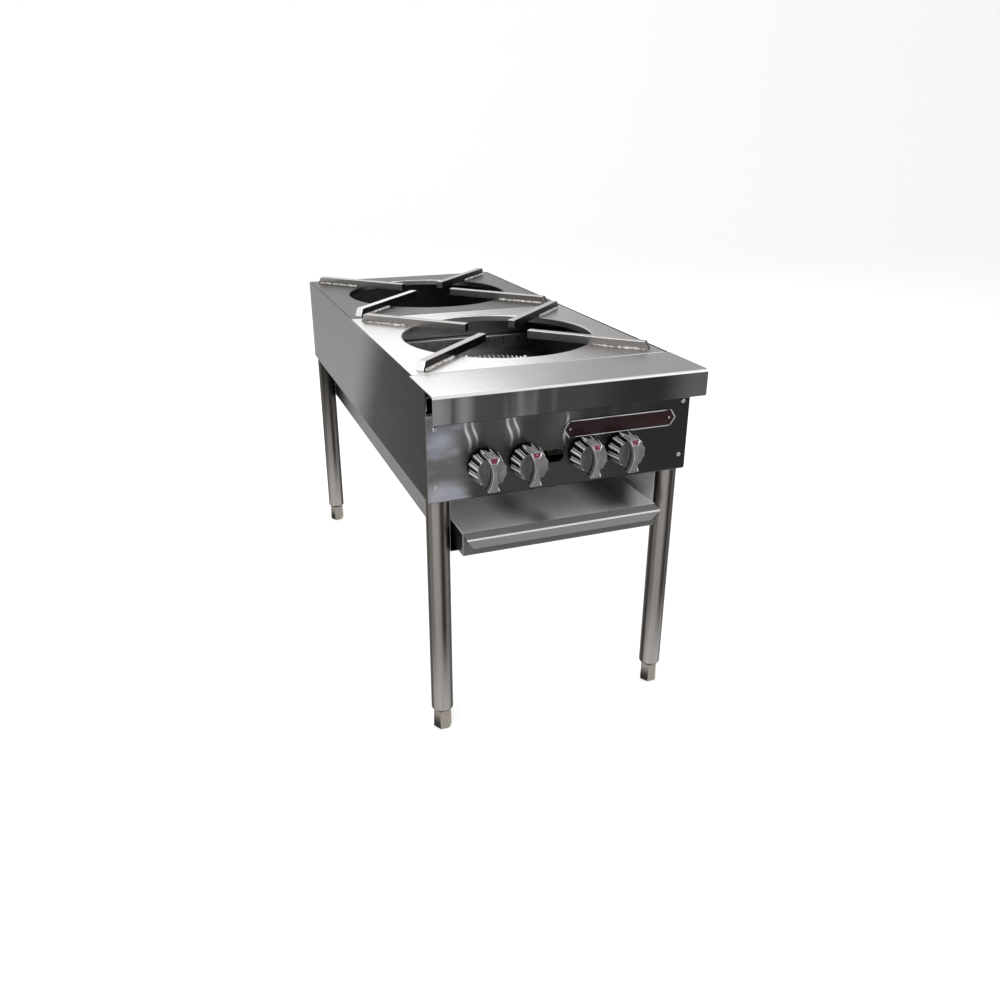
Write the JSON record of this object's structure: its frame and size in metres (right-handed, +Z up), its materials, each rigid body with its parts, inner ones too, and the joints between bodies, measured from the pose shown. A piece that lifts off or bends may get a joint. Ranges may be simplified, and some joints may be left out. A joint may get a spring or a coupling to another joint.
{
  "type": "stock pot range",
  "caption": "Low free-standing gas stock pot range: open ring burners in a folded steel body on legs, with pot bars, knobs, a front ledge and a pull-out drip tray.",
  "frame": {"origin": "on the floor under the middle of the bounding box", "axes": "+Z up, +Y from the knobs to the back, +X to the right of a person at the knobs"},
  "size_m": [0.4604, 1.0642, 0.6403],
  "materials": {
    "body_steel": "brushed",
    "deck_steel": "brushed",
    "bar_steel": "ground bar",
    "weld_metal": "dull",
    "inner_steel": "dull",
    "leg_steel": "brushed lengthwise",
    "foot_steel": "satin",
    "fastener_steel": "bright",
    "burner_iron": "rough cast",
    "tip_metal": "satin",
    "shutter_steel": "plated",
    "pipe_iron": "black pipe",
    "valve_brass": "satin",
    "tube_metal": "drawn",
    "knob_chrome": "polished",
    "plate_chrome": "polished rim round a dark red inset"
  },
  "bodies": {
    "frame": {"left_side_panel": "body_steel", "right_side_panel": "body_steel", "back_panel": "body_steel", "control_panel": "body_steel", "front_ledge": "body_steel", "left_tray_runner": "body_steel", "right_tray_runner": "body_steel", "tray_stop": "body_steel", "left_deck_rail": "inner_steel", "right_deck_rail": "inner_steel", "cross_channel": "inner_steel", "divider_panel": "inner_steel", "slotted_strip": "inner_steel", "heat_shield": "inner_steel", "leg_plates": "inner_steel", "burner_bars": "inner_steel", "front_left_leg": "leg_steel", "front_right_leg": "leg_steel", "rear_left_leg": "leg_steel", "rear_right_leg": "leg_steel", "panel_screws": "fastener_steel", "leg_bolts": "fastener_steel", "burner_cap_nuts": "fastener_steel", "front_outer_burner": "burner_iron", "front_inner_burner": "burner_iron", "rear_outer_burner": "burner_iron", "rear_inner_burner": "burner_iron", "front_burner_tips": "tip_metal", "rear_burner_tips": "tip_metal", "air_shutters": "shutter_steel", "gas_manifold": "pipe_iron", "manifold_plug": "pipe_iron", "valve_1": "valve_brass", "valve_2": "valve_brass", "valve_3": "valve_brass", "valve_4": "valve_brass", "gas_jets": "valve_brass", "pilot_valves": "valve_brass", "rear_gas_tubes": "tube_metal", "pilot_tubes": "tube_metal", "nameplate": "plate_chrome"},
    "front_deck": {"front_top_plate": "deck_steel", "front_pot_bars": "bar_steel", "front_weld_beads": "weld_metal"},
    "rear_deck": {"rear_top_plate": "deck_steel", "rear_pot_bars": "bar_steel", "rear_weld_beads": "weld_metal"},
    "tray": {"drip_tray": "body_steel"},
    "knob_1": {"knob_1": "knob_chrome", "stem_1": "valve_brass"},
    "knob_2": {"knob_2": "knob_chrome", "stem_2": "valve_brass"},
    "knob_3": {"knob_3": "knob_chrome", "stem_3": "valve_brass"},
    "knob_4": {"knob_4": "knob_chrome", "stem_4": "valve_brass"},
    "front_left_foot": {"front_left_foot": "foot_steel"},
    "front_right_foot": {"front_right_foot": "foot_steel"},
    "rear_left_foot": {"rear_left_foot": "foot_steel"},
    "rear_right_foot": {"rear_right_foot": "foot_steel"}
  },
  "joints": [
    {"name": "knob_1_turn", "type": "hinge", "parent": "frame", "child": "knob_1", "pos_m": [-0.136, -0.48355, 0.495], "axis": [0, -1, 0], "range_deg": [0, 90]},
    {"name": "knob_2_turn", "type": "hinge", "parent": "frame", "child": "knob_2", "pos_m": [-0.0663, -0.48355, 0.495], "axis": [0, -1, 0], "range_deg": [0, 90]},
    {"name": "knob_3_turn", "type": "hinge", "parent": "frame", "child": "knob_3", "pos_m": [0.037, -0.48355, 0.495], "axis": [0, -1, 0], "range_deg": [0, 90]},
    {"name": "knob_4_turn", "type": "hinge", "parent": "frame", "child": "knob_4", "pos_m": [0.105, -0.48355, 0.495], "axis": [0, -1, 0], "range_deg": [0, 90]},
    {"name": "tray_slide", "type": "slide", "parent": "frame", "child": "tray", "axis": [0, -1, 0], "range_m": [0, 0.8]},
    {"name": "front_deck_lift", "type": "slide", "parent": "frame", "child": "front_deck", "axis": [0, 0, 1], "range_m": [0, 0.15]},
    {"name": "rear_deck_lift", "type": "slide", "parent": "frame", "child": "rear_deck", "axis": [0, 0, 1], "range_m": [0, 0.15]},
    {"name": "front_left_foot_screw", "type": "slide", "parent": "frame", "child": "front_left_foot", "axis": [0, 0, -1], "range_m": [-0.0025, 0.03]},
    {"name": "front_right_foot_screw", "type": "slide", "parent": "frame", "child": "front_right_foot", "axis": [0, 0, -1], "range_m": [-0.0025, 0.03]},
    {"name": "rear_left_foot_screw", "type": "slide", "parent": "frame", "child": "rear_left_foot", "axis": [0, 0, -1], "range_m": [-0.0025, 0.03]},
    {"name": "rear_right_foot_screw", "type": "slide", "parent": "frame", "child": "rear_right_foot", "axis": [0, 0, -1], "range_m": [-0.0025, 0.03]}
  ]
}
